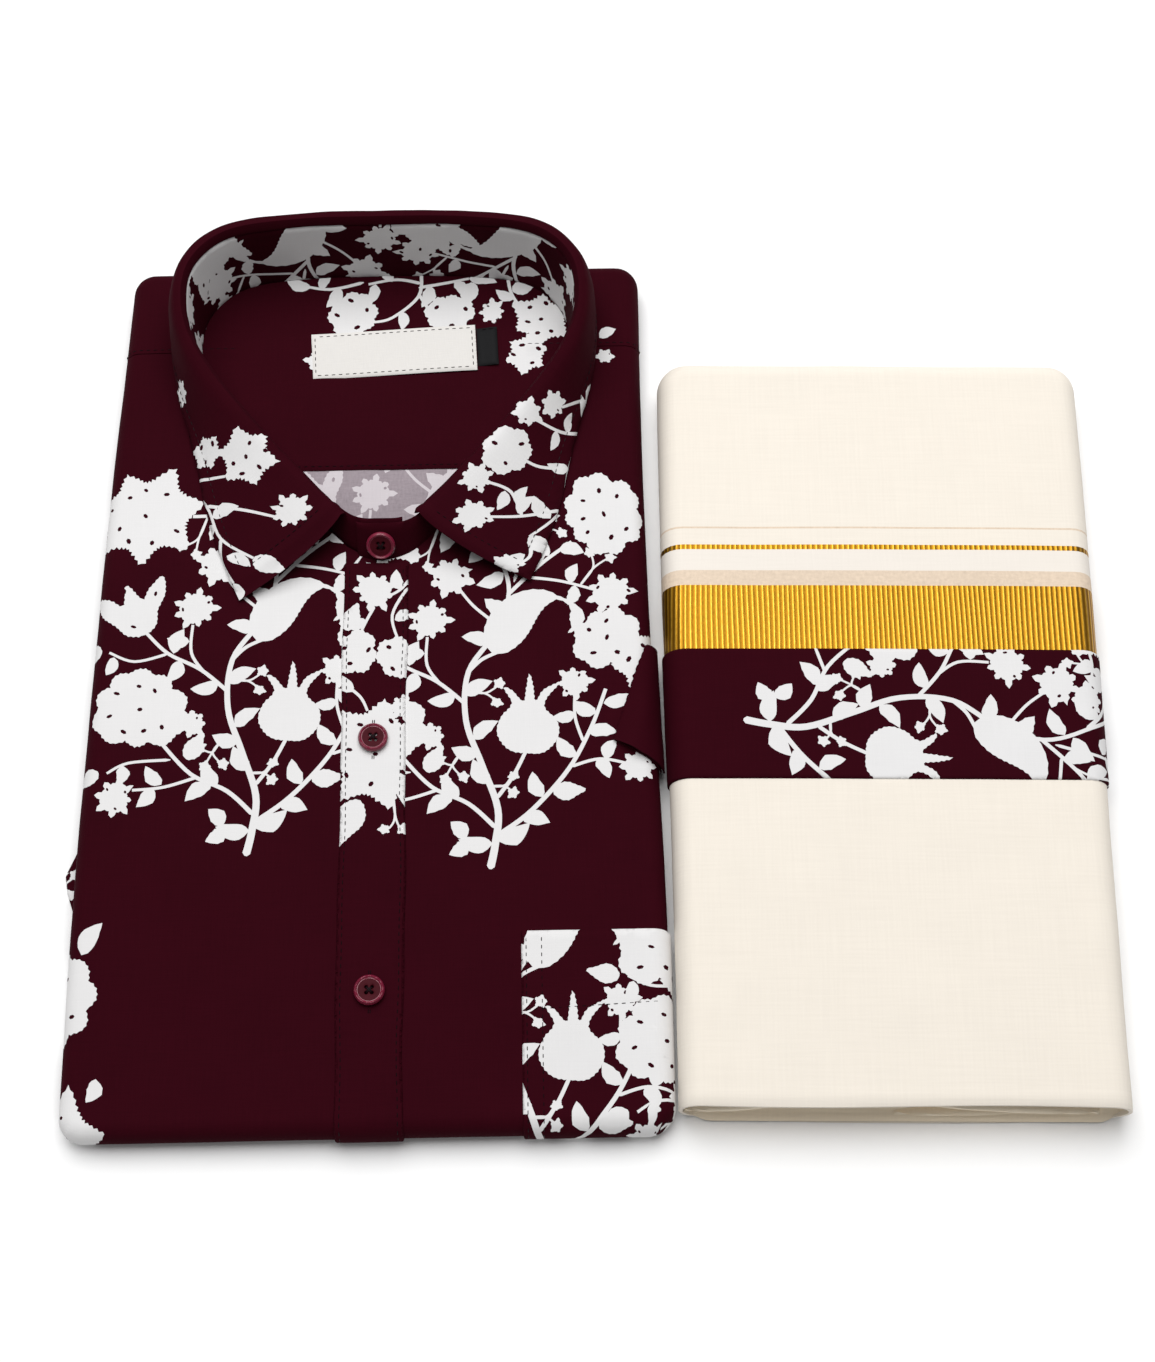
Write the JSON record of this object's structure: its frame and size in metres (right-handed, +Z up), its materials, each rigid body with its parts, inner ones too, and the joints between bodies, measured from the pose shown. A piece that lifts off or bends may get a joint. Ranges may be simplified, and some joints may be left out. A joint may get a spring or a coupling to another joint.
{
  "type": "folded shirt and mundu set",
  "caption": "Folded short-sleeved printed shirt with its collar standing, beside a folded cream mundu with gold stripes and a printed band.",
  "frame": {"origin": "middle of the set's footprint, on the table it lies on", "axes": "+X to the viewer's right, from the shirt to the mundu; +Y away from the viewer, towards the collar; +Z up"},
  "size_m": [0.4026, 0.3796, 0.0497],
  "materials": {
    "shirt_cotton": "matt plain-weave cotton, dark maroon, with white printed flowers in places",
    "shirt_cotton_reverse": "wrong side of the printed cotton, pale grey",
    "button_resin": "glossy crimson resin",
    "label_tape": "off-white woven label, bare, with a stitched border",
    "size_tab_tape": "black woven tab, bare",
    "mundu_cotton": "matt fine cream cotton with woven gold, white and beige stripes"
  },
  "bodies": {
    "root": {"shirt_folded_layers": "shirt_cotton", "right_front": "shirt_cotton", "left_front": "shirt_cotton", "outer_yoke": "shirt_cotton", "inner_yoke": "shirt_cotton", "back_inside": "shirt_cotton_reverse", "collar_stand": "shirt_cotton", "collar_leaf": "shirt_cotton", "placket": "shirt_cotton", "pocket": "shirt_cotton", "left_sleeve": "shirt_cotton", "right_sleeve": "shirt_cotton", "collar_button": "button_resin", "upper_button": "button_resin", "lower_button": "button_resin", "neck_label": "label_tape", "size_tab": "size_tab_tape", "mundu_folded_layers": "mundu_cotton", "mundu_outer_layer": "mundu_cotton", "mundu_under_layer": "mundu_cotton", "mundu_inner_fold_upper": "mundu_cotton", "mundu_inner_fold_lower": "mundu_cotton", "mundu_band": "shirt_cotton"}
  },
  "joints": []
}
